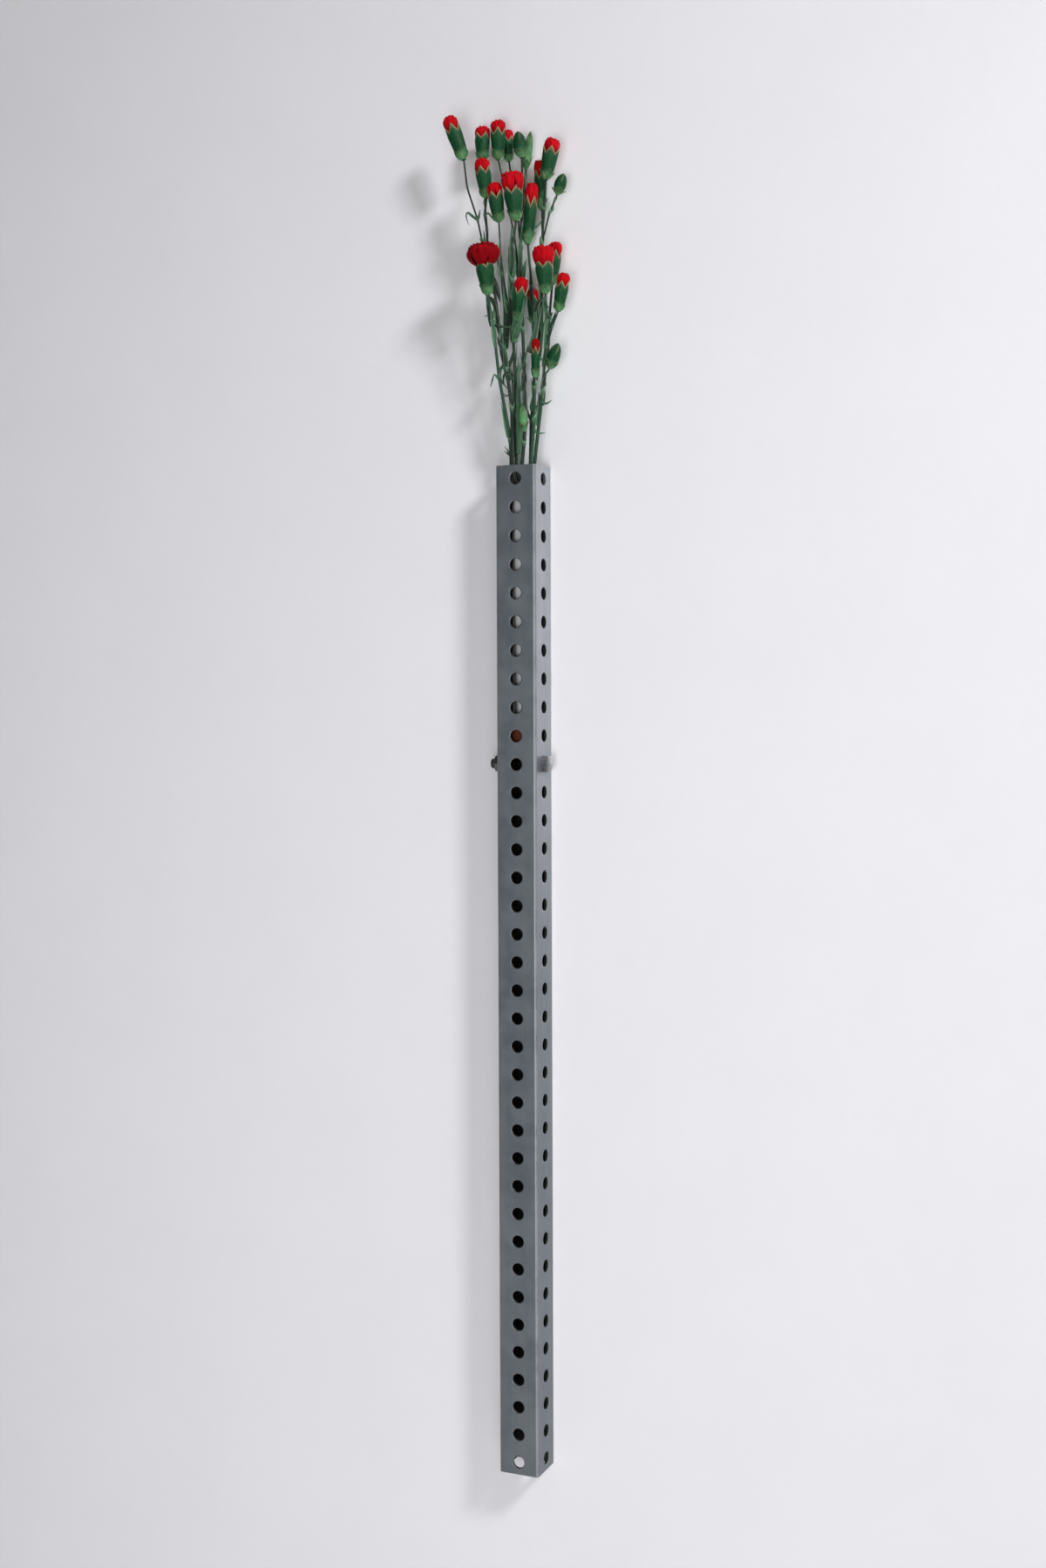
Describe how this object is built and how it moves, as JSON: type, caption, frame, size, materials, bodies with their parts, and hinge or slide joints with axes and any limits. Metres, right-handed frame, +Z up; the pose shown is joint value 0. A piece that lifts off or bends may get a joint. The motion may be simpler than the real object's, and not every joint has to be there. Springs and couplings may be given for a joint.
{
  "type": "wall flower tube",
  "caption": "Upright perforated square steel tube for a wall, holding sprays of red carnations in a hidden glass tube that rests on a cross bolt.",
  "frame": {"origin": "On the face that lies on the wall, midway across the tube and midway between its two ends, where the face is solid between rows 18 and 19 of the holes.", "axes": "+Z up along the tube, +Y out of the back face into the wall, +X to the right for someone facing the wall. The front faces -Y."},
  "size_m": [0.1147, 0.0648, 1.2237],
  "materials": {
    "galvanised_steel": "dull hot-dip zinc grey",
    "zinc_plated_steel": "bright zinc plate",
    "frosted_glass": "satin, etched",
    "red_brown_rubber": "matt",
    "stem_green": "waxy plant green",
    "petal_red": "soft petal"
  },
  "bodies": {
    "profile": {"perforated_tube": "galvanised_steel", "cross_bolt": "zinc_plated_steel", "hex_nut": "zinc_plated_steel"},
    "vessel": {"glass_tube": "frosted_glass", "rubber_cap": "red_brown_rubber"},
    "bouquet": {"spray_1_stem": "stem_green", "spray_2_stem": "stem_green", "spray_3_stem": "stem_green", "spray_4_stem": "stem_green", "spray_5_stem": "stem_green", "spray_6_stem": "stem_green", "spray_7_stem": "stem_green", "spray_1_petals": "petal_red", "spray_2_petals": "petal_red", "spray_3_petals": "petal_red", "spray_4_petals": "petal_red", "spray_5_petals": "petal_red", "spray_6_petals": "petal_red", "spray_7_petals": "petal_red"}
  },
  "joints": [
    {"name": "vessel_lift", "type": "slide", "parent": "profile", "child": "vessel", "axis": [0, 0, 1], "range_m": [0, 0.27]},
    {"name": "bouquet_lift", "type": "slide", "parent": "vessel", "child": "bouquet", "axis": [0, 0, 1], "range_m": [0, 0.24]}
  ]
}
